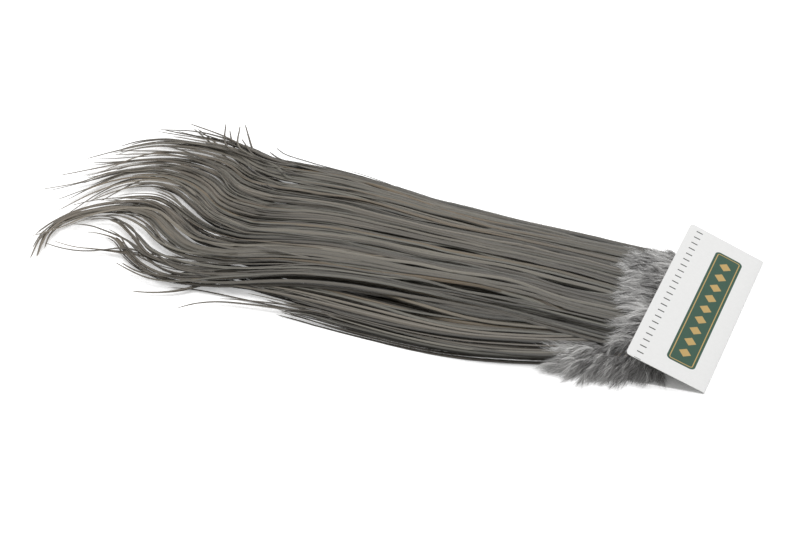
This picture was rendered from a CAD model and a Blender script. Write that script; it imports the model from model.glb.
"""Rooster saddle patch: a Blender 4.5 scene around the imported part.

The dried skin of a rooster's lower back lies with its long narrow feathers up, its butt end held
between the flaps of a folded card. Each lock of feathers, each fringe of down, the skin and the card
is one piece that stands for its solid.

Sizes are in millimetres until a mesh is written, which is in metres. +X runs from the feather tips
to the fold of the card, +Y along the fold and +Z up, from the middle of the card's flat underside.
"""

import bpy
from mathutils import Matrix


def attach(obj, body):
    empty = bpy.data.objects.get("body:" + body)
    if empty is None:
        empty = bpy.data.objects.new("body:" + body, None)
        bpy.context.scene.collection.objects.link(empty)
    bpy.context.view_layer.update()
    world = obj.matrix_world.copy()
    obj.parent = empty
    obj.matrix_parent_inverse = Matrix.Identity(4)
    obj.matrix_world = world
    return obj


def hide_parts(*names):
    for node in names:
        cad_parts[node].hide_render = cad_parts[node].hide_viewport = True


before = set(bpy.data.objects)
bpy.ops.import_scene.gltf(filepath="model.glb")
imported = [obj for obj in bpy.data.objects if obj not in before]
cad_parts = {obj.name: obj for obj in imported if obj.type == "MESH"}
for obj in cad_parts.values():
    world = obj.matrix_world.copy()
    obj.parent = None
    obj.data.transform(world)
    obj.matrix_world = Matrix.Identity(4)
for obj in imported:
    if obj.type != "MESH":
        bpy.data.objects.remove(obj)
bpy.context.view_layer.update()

import logging
import math
from dataclasses import dataclass, field
from enum import Enum
from functools import lru_cache, partial
from typing import Callable, Sequence, Union

import bmesh
import bpy
import numpy as np
from bpy.types import Material, Mesh, Node, NodeSocket, NodeTree, Object
from mathutils import Matrix, Vector

log = logging.getLogger("saddle_patch")

MM = 0.001
BODY = "root"

Table = Sequence[tuple[float, float]]
Source = Union[Node, NodeSocket]
Adder = Callable[..., Node]


class Slot(Enum):
    """Material slots of the record."""

    CARD = "card"
    SKIN = "skin"
    HACKLE = "hackle"
    DOWN = "down"


class Layer(Enum):
    """The three layers of feather locks, from the skin up."""

    LOWER = "lower"
    MIDDLE = "middle"
    UPPER = "upper"


# The shape of the patch, as its solids have it


@dataclass(frozen=True)
class CardPlan:
    """Sizes of the folded card, in mm and degrees.

    Attributes:
        width: Width along the fold.
        flap: Length of a flap, from its free edge to the outside of the fold.
        thickness: Thickness of the board.
        corner: Radius of the corners.
        fold: Radius of the fold, at the middle of the board.
        rise_near: Angle that the upper flap rises at, at the near end of the fold.
        rise_far: The same at the far end.
    """

    width: float = 114.0
    flap: float = 41.4
    thickness: float = 0.4
    corner: float = 2.2
    fold: float = 0.55
    rise_near: float = 21.5
    rise_far: float = 23.5

    @property
    def flat(self) -> float:
        """Length of a flap's flat part."""
        return self.flap - self.fold - self.thickness / 2

    @property
    def fold_x(self) -> float:
        """Place along X of the fold's axis."""
        return self.flap / 2 - self.fold - self.thickness / 2

    def rise(self, y: np.ndarray) -> np.ndarray:
        """Angle of the rising flap, in radians, at a place along the fold."""
        share = y / self.width + 0.5
        return np.radians(self.rise_near + (self.rise_far - self.rise_near) * share)

    def flap_underside(self, x: np.ndarray, y: np.ndarray) -> np.ndarray:
        """Height of the rising flap's underside, level beyond its free edge.

        Args:
            x: Places along X, in mm.
            y: Places along Y, in mm.

        Returns:
            Heights in mm.
        """
        rise = self.rise(y)
        inner = self.fold - self.thickness / 2
        start = self.fold_x + inner * np.sin(rise)
        reach = (start - np.maximum(x, FLAP_EDGE - self.flap / 2)) / np.cos(rise)
        return self.thickness / 2 + self.fold + inner * np.cos(rise) + reach * np.sin(rise)


@dataclass(frozen=True)
class LayerPlan:
    """One layer of locks.

    Attributes:
        root: Where the locks root, along X in mm.
        full: Where the layer has its full thickness, along X in mm.
        lanes: Number of locks side by side.
        reach: How far along the curl of the tips even and odd locks go.
        clumps: Clumps of feathers side by side in a lock.
        feathers: Feathers in a clump.
        steps: Steps along a feather's vane.
        shade: Tone of its feathers, from 0 for deep shade to 1.
        long: Share of its feathers that reach its tips.
    """

    root: float
    full: float
    lanes: int
    reach: tuple[float, float]
    clumps: int
    feathers: int
    steps: int
    shade: float
    long: float


# Where the rising flap's free edge stands over the flat flap, from the flat flap's own edge, in mm
FLAP_EDGE = 5
CARD = CardPlan()
LAYERS = {
    Layer.LOWER: LayerPlan(-46, -56, 12, (0.6, 0.7), 3, 5, 48, 0.36, 0.05),
    Layer.MIDDLE: LayerPlan(-26, -34, 14, (0.82, 0.9), 3, 4, 96, 0.54, 0.08),
    Layer.UPPER: LayerPlan(-3, -13, 16, (1.0, 1.0), 3, 6, 150, 1.0, 0.3),
}
# Gap between pieces, how far ahead of its root a layer lifts the next one, and the thinnest layer
GAP = 0.35
RISE_AHEAD = 4
LEAST_THICKNESS = 0.3
# The skin, its half width by place along X, and where it comes off the flap and onto the surface
SKIN_THICKNESS = 1.0
SKIN_FRONT = 12.0
SKIN_BACK = -70.0
SKIN_HALF = ((12, 30), (8, 37), (0, 39), (-20, 40), (-45, 37), (-58, 29), (-66, 18), (-70, 9))
SKIN_WAVE = 0.03
SKIN_ON_FLAP = -22
SKIN_ON_SURFACE = -34
# Where the feathers come down onto the surface, where locks are measured across, and where the
# straight part ends
FEATHERS_ON_SURFACE = -130
STATIONS = (-3, -13, -22, -26, -34, -42, -46, -56, -71, -130, -180, -240)
BODY_END = -240
# How much thinner a layer is at the edges, the edges of the mass and of the upper layer, and a
# layer's thickness, by place along X
EDGE_THINNING = 0.35
NEAR_EDGE = ((0, -38), (-30, -45), (-60, -56), (-100, -62), (-150, -60), (-200, -55), (-240, -52))
FAR_EDGE = ((0, 42), (-30, 44), (-60, 47), (-100, 51), (-150, 60), (-200, 72), (-240, 76))
UPPER_NEAR = ((0, -36), (-30, -39), (-60, -36), (-100, -30), (-150, -29), (-200, -33), (-240, -47))
UPPER_FAR = ((0, 40), (-30, 41), (-60, 43), (-100, 48), (-150, 56), (-200, 68), (-240, 72))
THICKNESS = ((0, 3.2), (-80, 3.1), (-150, 2.8), (-240, 2.2), (-300, 1.5), (-350, 1), (-400, 0.8))

# How each lock of the upper layer bends and curls beyond its straight part, near side first
UPPER_TIPS = (
    ((-263, -45), (-281, -39), (-295, -29), (-307, -18), (-318, -15), (-327, -15)),
    ((-263, -36), (-283, -29), (-298, -16), (-316, -5), (-330, -9), (-338, -21)),
    ((-263, -28), (-282, -20), (-298, -6), (-314, 1), (-327, -2), (-335, -8)),
    ((-263, -19), (-281, -8), (-298, 5), (-315, 7), (-332, -1),
     (-341, -11), (-344, -24), (-338, -46)),
    ((-263, -10), (-281, 2), (-297, 13), (-313, 15), (-328, 9),
     (-339, -1), (-346, -15), (-349, -29)),
    ((-263, -1), (-280, 8), (-293, 17), (-304, 22), (-316, 20), (-329, 13)),
    ((-263, 9), (-280, 21), (-295, 31), (-311, 34), (-324, 29), (-332, 20), (-336, 10)),
    ((-263, 16), (-280, 29), (-295, 38), (-312, 41), (-327, 36), (-338, 21), (-347, -3)),
    ((-263, 22), (-280, 36), (-295, 44), (-313, 47), (-330, 41), (-342, 25), (-351, 6)),
    ((-263, 29), (-280, 43), (-296, 50), (-315, 52), (-332, 44), (-347, 31), (-366, 14)),
    ((-263, 37), (-279, 50), (-296, 57), (-315, 58), (-332, 52), (-347, 39), (-363, 24)),
    ((-262, 45), (-279, 57), (-296, 63), (-315, 64), (-331, 59), (-343, 54), (-358, 49)),
    ((-261, 53), (-278, 64), (-295, 69), (-313, 70), (-327, 66), (-337, 59)),
    ((-260, 59), (-277, 70), (-294, 75), (-312, 76), (-327, 74), (-338, 68), (-347, 57)),
    ((-259, 66), (-276, 76), (-293, 81), (-312, 82), (-327, 81), (-340, 74), (-348, 64)),
    ((-258, 71), (-275, 79), (-292, 83), (-310, 84), (-322, 84), (-335, 84)),
)
# The bunch that each of them lies with at its tip
BUNCHES = (0, 1, 1, 1, 1, 2, 3, 4, 4, 4, 4, 4, 5, 5, 5, 5)
# Tips that stray, by layer and lock
STRAYS = {
    Layer.LOWER: {0: ((-248, -49), (-262, -52))},
    Layer.MIDDLE: {
        0: ((-228, -56), (-241, -62), (-248, -69)),
        1: ((-252, -51), (-265, -57), (-279, -59)),
        2: ((-264, -45), (-281, -46), (-294, -40)),
        3: ((-262, -25), (-279, -26), (-294, -28), (-310, -30), (-325, -32), (-340, -30)),
        10: ((-266, 58), (-284, 72), (-301, 85), (-319, 97)),
        11: ((-263, 63), (-279, 74), (-290, 88), (-298, 102)),
        12: ((-261, 70), (-273, 80), (-283, 93), (-290, 103)),
        13: ((-252, 76), (-263, 83)),
    },
    Layer.UPPER: {},
}
# Single feathers that leave the upper locks: the lock, how far the tip lifts, and the tip's line
LONE_FEATHERS = (
    (0, 0.5, ((-258, -49), (-273, -49), (-283, -46), (-297, -40))),
    (0, 1.0, ((-263, -40), (-282, -33), (-301, -22), (-318, -16), (-327, -14), (-337, -15))),
    (1, 0.5, ((-262, -38), (-282, -31), (-298, -28), (-310, -33), (-320, -36),
     (-332, -36), (-342, -34))),
    (3, 1.0, ((-263, -19), (-281, -7), (-298, 6), (-315, 7), (-331, -4),
     (-341, -15), (-346, -28), (-342, -50))),
    (4, 2.0, ((-263, -12), (-281, -1), (-297, 10), (-312, 9), (-331, -4), (-340, -19), (-351, -32))),
    (6, 2.0, ((-263, 12), (-280, 25), (-295, 35), (-312, 37), (-326, 31), (-338, 18), (-349, -6))),
    (6, 1.0, ((-263, 11), (-280, 24), (-295, 33), (-312, 34), (-326, 24), (-338, 8))),
    (7, 2.0, ((-263, 18), (-280, 31), (-296, 40), (-313, 42), (-330, 34), (-343, 20), (-355, 3))),
    (8, 1.0, ((-263, 24), (-280, 37), (-295, 45), (-308, 45), (-320, 33), (-331, 10))),
    (9, 2.0, ((-263, 29), (-280, 43), (-297, 52), (-312, 51), (-325, 44),
     (-340, 38), (-351, 24), (-368, 11))),
    (12, 2.0, ((-261, 50), (-278, 62), (-295, 67), (-313, 68), (-330, 60), (-344, 38))),
    (13, 2.0, ((-260, 60), (-277, 70), (-294, 75), (-312, 76), (-330, 70), (-348, 56))),
    (14, 3.0, ((-259, 66), (-276, 76), (-293, 80), (-312, 80), (-330, 74), (-346, 60), (-359, 45))),
    (14, 5.0, ((-256, 70), (-272, 73), (-287, 79), (-297, 99))),
    (13, 5.0, ((-254, 66), (-268, 72), (-281, 79), (-289, 99))),
    (15, 4.0, ((-252, 68), (-262, 70), (-269, 73), (-283, 87))),
    (15, 5.0, ((-258, 74), (-272, 80), (-290, 86), (-310, 88), (-332, 82))),
    (15, 5.0, ((-258, 73), (-275, 80), (-295, 88), (-318, 93))),
)

# Partings where the feathers lie open and the shade shows: rows of x, y and half width in mm
PARTINGS = (
    ((-92, -28, 0.0), (-112, -28, 1.0), (-134, -28, 2.4), (-165, -28, 3.0), (-190, -31, 2.7),
     (-210, -36, 2.3), (-230, -42, 2.0), (-254, -49, 0.0)),
    ((-62, -19, 0.0), (-76, -19, 2.3), (-118, -19, 2.4), (-138, -19, 0.0)),
    ((-38, -5, 0.0), (-50, -5, 2.4), (-64, -4, 2.1), (-80, -4, 0.0)),
    ((-96, 7, 0.0), (-114, 11, 2.2), (-136, 16, 0.0)),
    ((-108, 0, 0.0), (-124, 0, 2.2), (-144, 0, 0.0)),
    ((-98, 21, 0.0), (-112, 22, 2.1), (-132, 24, 0.0)),
    ((-150, 38, 0.0), (-168, 41, 1.9), (-196, 46, 0.0)),
)
# Short slits between the feathers elsewhere: their number, and in mm their places along X, lengths
# and half widths, with their places across the patch and their lean as shares
SLITS = 84
SLIT_SEED = 815
SLIT_RANGE = (-235, -60)
SLIT_LENGTH = (14, 50)
SLIT_HALF = (1.1, 2.0)
SLIT_ACROSS = (0.04, 0.98)
SLIT_LEAN = (-0.02, 0.02)
# How far a parting's shade reaches past its edge, and how far its own line is smoothed, in mm
SHADE_REACH = 3.5
PARTING_SMOOTHING = (-8.0, 0.0, 8.0)
# Farthest that a parting pushes a feather, by its half width, so that some feathers still cross it
MOST_PUSH = 1.8
# The feathers' height is smoothed over these steps along X. The down holds it up at the butts: from
# where, by what share, how far from a root the hold starts and is full, and how it fades
SMOOTHING = (-22.0, -13.0, -5.0, 5.0, 13.0, 22.0)
HELD_FROM = -74.0
HELD_SHARE = 0.8
HELD_RISE = (-3, -24)
HELD_FADE = (-20, 6)
# How far the upper layer sinks into the middle one along its near edge, how far in from that edge it
# starts and is full, and where along X it is full and ends, in mm
EDGE_DROP = 2.6
EDGE_BAND = (12, -1)
EDGE_RANGE = (-170, -110)


def along(table: Table, x: np.ndarray) -> np.ndarray:
    """Reads a table on a smooth line through its pairs.

    Args:
        table: Pairs of x and value, with x falling.
        x: Places to read it at.

    Returns:
        The values there.
    """
    places = np.array([pair[0] for pair in table[::-1]], float)
    values = np.array([pair[1] for pair in table[::-1]], float)
    before = np.maximum(np.arange(len(places)) - 1, 0)
    after = np.minimum(np.arange(len(places)) + 1, len(places) - 1)
    slopes = (values[after] - values[before]) / (places[after] - places[before])
    x = np.clip(x, places[0], places[-1])
    i = np.clip(np.searchsorted(places, x) - 1, 0, len(places) - 2)
    span = places[i + 1] - places[i]
    t = (x - places[i]) / span
    rise = span * (slopes[i] * t * (1 - t) ** 2 - slopes[i + 1] * t * t * (1 - t))
    return values[i] + (values[i + 1] - values[i]) * t * t * (3 - 2 * t) + rise


def ramp(x: np.ndarray, start: float, end: float) -> np.ndarray:
    """Goes from 0 at start to 1 at end, and stays level outside them."""
    return np.clip((x - start) / (end - start), 0, 1)


def ease(share: np.ndarray) -> np.ndarray:
    """Rounds off both ends of a ramp from 0 to 1."""
    return share * share * (3 - 2 * share)


def between(ends: tuple[float, float], share: np.ndarray) -> np.ndarray:
    """Goes from the first of two ends to the second."""
    return ends[0] + (ends[1] - ends[0]) * share


def smooth_line(knots: np.ndarray, reach: float = 1.0, count: int = 48) -> np.ndarray:
    """Draws a centripetal Catmull-Rom line through knots.

    Args:
        knots: Points in plan, in mm.
        reach: Share of the line's length that is used.
        count: Number of points on it, evenly spaced.

    Returns:
        The points, one row each.
    """
    padded = np.vstack((2 * knots[0] - knots[1], knots, 2 * knots[-1] - knots[-2]))
    drawn = []
    for a, b, c, d in zip(padded, padded[1:], padded[2:], padded[3:]):
        ab, bc, cd = (np.linalg.norm(q - p) ** 0.5 for p, q in ((a, b), (b, c), (c, d)))
        leave = ((b - a) / ab - (c - a) / (ab + bc) + (c - b) / bc) * bc
        arrive = ((c - b) / bc - (d - b) / (bc + cd) + (d - c) / cd) * bc
        t = np.linspace(0, 1, 16, endpoint=False)[:, None]
        cubic = 2 * b - 2 * c + leave + arrive
        square = -3 * b + 3 * c - 2 * leave - arrive
        drawn.append(b + leave * t + square * t**2 + cubic * t**3)
    points = np.vstack((*drawn, knots[-1:]))
    far = np.concatenate(([0], np.cumsum(np.linalg.norm(np.diff(points, axis=0), axis=1))))
    at = np.linspace(0, far[-1] * reach, count)
    return np.stack([np.interp(at, far, points[:, axis]) for axis in (0, 1)], 1)


def skin_underside(x: np.ndarray) -> np.ndarray:
    """Height of the skin's underside, which lies on the flap and then on the surface."""
    return (CARD.thickness + GAP) * ramp(x, SKIN_ON_SURFACE, SKIN_ON_FLAP)


def layer_thickness(x: np.ndarray, y: np.ndarray) -> np.ndarray:
    """Thickness of one layer of feathers, less towards the patch's long edges."""
    near, far = along(NEAR_EDGE, x), along(FAR_EDGE, x)
    across = np.clip((2 * y - near - far) / (far - near), -1, 1)
    return along(THICKNESS, x) * (1 - EDGE_THINNING * across**4)


def layer_floor(layer: Layer, x: np.ndarray, y: np.ndarray) -> np.ndarray:
    """Height of the lowest feathers of a layer.

    Args:
        layer: The layer.
        x: Places along X, in mm.
        y: Places along Y, in mm.

    Returns:
        Heights in mm.
    """
    on_skin = skin_underside(x) + SKIN_THICKNESS + GAP
    floor = on_skin * ramp(x, FEATHERS_ON_SURFACE, SKIN_BACK - 1)
    for below, plan in LAYERS.items():
        if below is layer:
            break
        floor = floor + ramp(x, plan.root + RISE_AHEAD, plan.full) * (layer_thickness(x, y) + GAP)
    return floor


def lie_height(layer: Layer, x: np.ndarray, y: np.ndarray) -> np.ndarray:
    """Height that a layer's feathers lie at, with no step over the butts of the layer below.

    Args:
        layer: The layer.
        x: Places along X, in mm.
        y: Places along Y, in mm.

    Returns:
        Heights in mm.
    """
    smooth = sum(layer_floor(layer, x + step, y) for step in SMOOTHING) / len(SMOOTHING)
    high = layer_floor(layer, np.full_like(x, HELD_FROM), y)
    hold = ease(ramp(x, *(LAYERS[layer].root + step for step in HELD_RISE)))
    hold = hold * ramp(x, *(HELD_FROM + step for step in HELD_FADE))
    height = smooth + HELD_SHARE * np.maximum(high - smooth, 0) * hold
    if layer is Layer.UPPER:
        inward = y - along(UPPER_NEAR, x)
        height = height - EDGE_DROP * ramp(inward, *EDGE_BAND) * ramp(x, *EDGE_RANGE)
    return height


def all_partings() -> tuple:
    """Lists the partings with the short slits, which lie along the lanes of the upper layer."""
    rng = np.random.default_rng(SLIT_SEED)
    slits = []
    for _ in range(SLITS):
        middle, across = rng.uniform(*SLIT_RANGE), rng.uniform(*SLIT_ACROSS)
        span, half = rng.uniform(*SLIT_LENGTH), rng.uniform(*SLIT_HALF)
        x = middle + span * np.array((0.5, 0.1, -0.2, -0.5))
        near, far = along(UPPER_NEAR, x), along(UPPER_FAR, x)
        y = near + (far - near) * across + rng.uniform(*SLIT_LEAN) * (x - middle)
        slits.append(tuple(zip(x, y, (0.0, half, 0.8 * half, 0.0))))
    return PARTINGS + tuple(slits)


def parting_at(rows: Sequence, x: np.ndarray) -> tuple[np.ndarray, np.ndarray]:
    """Gives a parting's middle along Y and its half width at places along X."""
    xs, ys, halves = (np.array(column[::-1], float) for column in zip(*rows))
    shifted = [x + step for step in PARTING_SMOOTHING]
    middle = sum(np.interp(at, xs, ys) for at in shifted) / len(shifted)
    half = sum(np.interp(at, xs, halves, left=0, right=0) for at in shifted) / len(shifted)
    return middle, half


def open_partings(x: np.ndarray, y: np.ndarray, partings: Sequence) -> np.ndarray:
    """Moves one feather sideways off the partings, each to the side that it is mostly on.

    Args:
        x: Places of the feather along X, in mm.
        y: Its places along Y, in mm.
        partings: Rows of x, y and half width, with x falling.

    Returns:
        The new places along Y.
    """
    for rows in partings:
        middle, half = parting_at(rows, x)
        if not half.any():
            continue
        side = 1.0 if np.sum((y - middle) * half) > 0 else -1.0
        off = (y - middle) * side
        pushed = 0.5 * (off + np.sqrt(off**2 + 4 * half**2))
        y = y + side * np.minimum(pushed - off, MOST_PUSH * half)
    return y


def parting_shade(x: np.ndarray, y: np.ndarray, partings: Sequence) -> np.ndarray:
    """Gives how deep in a parting's shade a place is, from 0 to 1."""
    deep = np.zeros_like(x)
    for rows in partings:
        middle, half = parting_at(rows, x)
        inside = 1 - ramp(np.abs(y - middle), half, half + SHADE_REACH)
        deep = np.maximum(deep, inside * np.clip(half / 1.5, 0, 1))
    return deep


@dataclass
class Route:
    """Middle line of a lock in plan, from its root to beyond its tip.

    Attributes:
        points: Points in mm, one row each.
        width: Width of the lock's lane at each point, in mm.
        curl: Share of the curling tip that lies behind each point.
        far: Distance of each point from the root, in mm.
        heading: Direction of the line at each point.
    """

    points: np.ndarray
    width: np.ndarray
    curl: np.ndarray
    far: np.ndarray = field(init=False)
    heading: np.ndarray = field(init=False)

    def __post_init__(self) -> None:
        """Measures the line and its direction."""
        steps = np.linalg.norm(np.diff(self.points, axis=0), axis=1)
        self.far = np.concatenate(([0], np.cumsum(steps)))
        heading = np.gradient(self.points, self.far, axis=0)
        self.heading = heading / np.linalg.norm(heading, axis=1, keepdims=True)

    @property
    def length(self) -> float:
        """Length from root to tip, in mm."""
        return float(self.far[-1])

    def at(self, far: np.ndarray) -> tuple[np.ndarray, ...]:
        """Reads the line at distances from the root.

        Args:
            far: Distances in mm, which may lie beyond the tip.

        Returns:
            Point x and y, heading x and y, lane width and curl share, an array each.
        """
        columns = (*self.points.T, *self.heading.T, self.width, self.curl)
        x, y, hx, hy, width, curl = (np.interp(far, self.far, column) for column in columns)
        size = np.hypot(hx, hy)
        hx, hy = hx / size, hy / size
        beyond = np.maximum(far - self.far[-1], 0)
        return x + hx * beyond, y + hy * beyond, hx, hy, width, curl


def lane_centre(layer: Layer, index: int, x: np.ndarray) -> tuple[np.ndarray, np.ndarray]:
    """Gives the middle of a lock's lane and the lane's width at places along X."""
    upper = layer is Layer.UPPER
    near = along(UPPER_NEAR if upper else NEAR_EDGE, x)
    far = along(UPPER_FAR if upper else FAR_EDGE, x)
    lane = (far - near) / LAYERS[layer].lanes
    return near + lane * (index + 0.5), lane


def curl_between(position: float, reach: float) -> np.ndarray:
    """Gives the curl of a lock that lies between two locks of the upper layer.

    Args:
        position: Place among the upper locks, where 0 is the nearest one.
        reach: Share of their curl that it follows.

    Returns:
        Points in plan, in mm.
    """
    low = int(np.clip(math.floor(position), 0, len(UPPER_TIPS) - 1))
    high = min(low + 1, len(UPPER_TIPS) - 1)
    share = float(np.clip(position - low, 0, 1)) if BUNCHES[low] == BUNCHES[high] else 0.0
    lines = []
    for row in (low, high):
        start = (BODY_END, float(lane_centre(Layer.UPPER, row, np.array(BODY_END))[0]))
        lines.append(smooth_line(np.array((start, *UPPER_TIPS[row]), float), reach))
    return lines[0] * (1 - share) + lines[1] * share


@lru_cache(maxsize=None)
def lock_route(layer: Layer, index: int, stray: Table | None = None) -> Route:
    """Lays the middle line of a lock: straight in its lane, and then along its curl.

    Args:
        layer: The lock's layer.
        index: The lock's number in the layer, from the near side.
        stray: The line of the tip, where it doesn't follow the locks beside it.

    Returns:
        The route.
    """
    plan = LAYERS[layer]
    body_end = max(BODY_END, stray[0][0] + 12) if stray else BODY_END
    last = min(x for x in STATIONS if plan.root >= x >= body_end)
    x = np.linspace(plan.root, last, 60)
    y, lane = lane_centre(layer, index, x)
    body = np.stack((x, y), 1)
    if stray:
        tip = smooth_line(np.array((body[-1], *stray), float))
    else:
        first, width = lane_centre(Layer.UPPER, 0, np.array(BODY_END))
        tip = curl_between(max(float((y[-1] - first) / width), 0), plan.reach[index % 2])
    tip = tip[1:]
    points = np.vstack((body, tip))
    width = np.concatenate((lane, np.full(len(tip), lane[-1])))
    curl = np.concatenate((np.zeros(len(body)), np.linspace(0, 1, len(tip) + 1)[1:]))
    return Route(points, width, curl)


# Meshes


def mesh_of(shape: bmesh.types.BMesh, name: str) -> Mesh:
    """Turns a finished bmesh into a smooth-shaded mesh."""
    mesh = bpy.data.meshes.new(name)
    shape.to_mesh(mesh)
    shape.free()
    mesh.shade_smooth()
    return mesh


def array_of(template: Mesh, count: int, name: str) -> Mesh:
    """Repeats a template mesh in place with an Array modifier.

    Args:
        template: Mesh to repeat.
        count: Number of copies.
        name: Name of the new mesh.

    Returns:
        One mesh that holds the copies in order.
    """
    maker = bpy.data.objects.new(name, template)
    bpy.context.scene.collection.objects.link(maker)
    repeat = maker.modifiers.new("repeat", "ARRAY")
    repeat.count = count
    repeat.use_relative_offset = False
    repeat.use_constant_offset = True
    repeat.constant_offset_displace = (0, 0, 0)
    graph = bpy.context.evaluated_depsgraph_get()
    mesh = bpy.data.meshes.new_from_object(maker.evaluated_get(graph))
    mesh.name = name
    bpy.data.objects.remove(maker)
    return mesh


def corners_of(mesh: Mesh) -> np.ndarray:
    """Reads a mesh's vertices, one row each."""
    flat = np.empty(len(mesh.vertices) * 3)
    mesh.vertices.foreach_get("co", flat)
    return flat.reshape(-1, 3)


def move_corners(mesh: Mesh, places: np.ndarray) -> None:
    """Writes a mesh's vertices from places in mm."""
    mesh.vertices.foreach_set("co", (places * MM).ravel())
    mesh.update()


def write_colours(mesh: Mesh, name: str, values: np.ndarray) -> None:
    """Stores three or four values for each vertex as a colour attribute, for the finish to read."""
    attribute = mesh.attributes.new(name, "FLOAT_COLOR", "POINT")
    rows = np.ones((len(values), 4), np.float32)
    rows[:, : values.shape[1]] = values
    attribute.data.foreach_set("color", rows.ravel())


def write_places(mesh: Mesh, name: str, values: np.ndarray) -> None:
    """Stores a place for each vertex as a vector attribute, for the finish to read."""
    attribute = mesh.attributes.new(name, "FLOAT_VECTOR", "POINT")
    attribute.data.foreach_set("vector", values.astype(np.float32).ravel())


def finished_piece(
    name: str,
    mesh: Mesh,
    materials: Sequence[Material],
    slot: Slot,
    *nodes: str,
) -> Object:
    """Puts a finished mesh in the scene as a piece of the part.

    Args:
        name: The piece's name.
        mesh: Its mesh, placed, in metres.
        materials: Its materials in the order of the mesh's material numbers.
        slot: The record's material slot.
        nodes: The solids that it stands for.

    Returns:
        The piece.
    """
    mesh.name = name
    for material in materials:
        mesh.materials.append(material)
    piece = bpy.data.objects.new(name, mesh)
    bpy.context.scene.collection.objects.link(piece)
    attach(piece, BODY)
    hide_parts(*nodes)
    mesh.calc_loop_triangles()
    log.info("%s: %d triangles", name, len(mesh.loop_triangles))
    return piece


# Finishes


def linear(colour: str) -> tuple[float, float, float, float]:
    """Turns an sRGB hex colour such as #7d7870 to linear red, green, blue and alpha."""
    parts = [int(colour[i : i + 2], 16) / 255 for i in (1, 3, 5)]
    red, green, blue = (
        part / 12.92 if part <= 0.04045 else ((part + 0.055) / 1.055) ** 2.4 for part in parts
    )
    return red, green, blue, 1.0


def add_node(tree: NodeTree, kind: str, inputs: dict | None = None, **settings: object) -> Node:
    """Adds a shader node with its settings, values and links.

    Args:
        tree: The node tree.
        kind: The node's type without its prefix, such as Math.
        inputs: By the input's name or number: a value, a socket to link from, or a node to link
            from by its first output in use.
        settings: The node's own settings.

    Returns:
        The node.
    """
    node = tree.nodes.new(f"ShaderNode{kind}")
    for name, value in settings.items():
        setattr(node, name, value)
    for key, value in (inputs or {}).items():
        if isinstance(value, Node):
            value = next(output for output in value.outputs if output.enabled)
        if isinstance(value, NodeSocket):
            tree.links.new(value, node.inputs[key])
        else:
            node.inputs[key].default_value = value
    return node


def new_material(name: str) -> tuple[Material, Adder]:
    """Makes an empty node material, and gives it with the call that adds its nodes."""
    material = bpy.data.materials.new(name)
    material.use_nodes = True
    material.node_tree.nodes.clear()
    return material, partial(add_node, material.node_tree)


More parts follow.
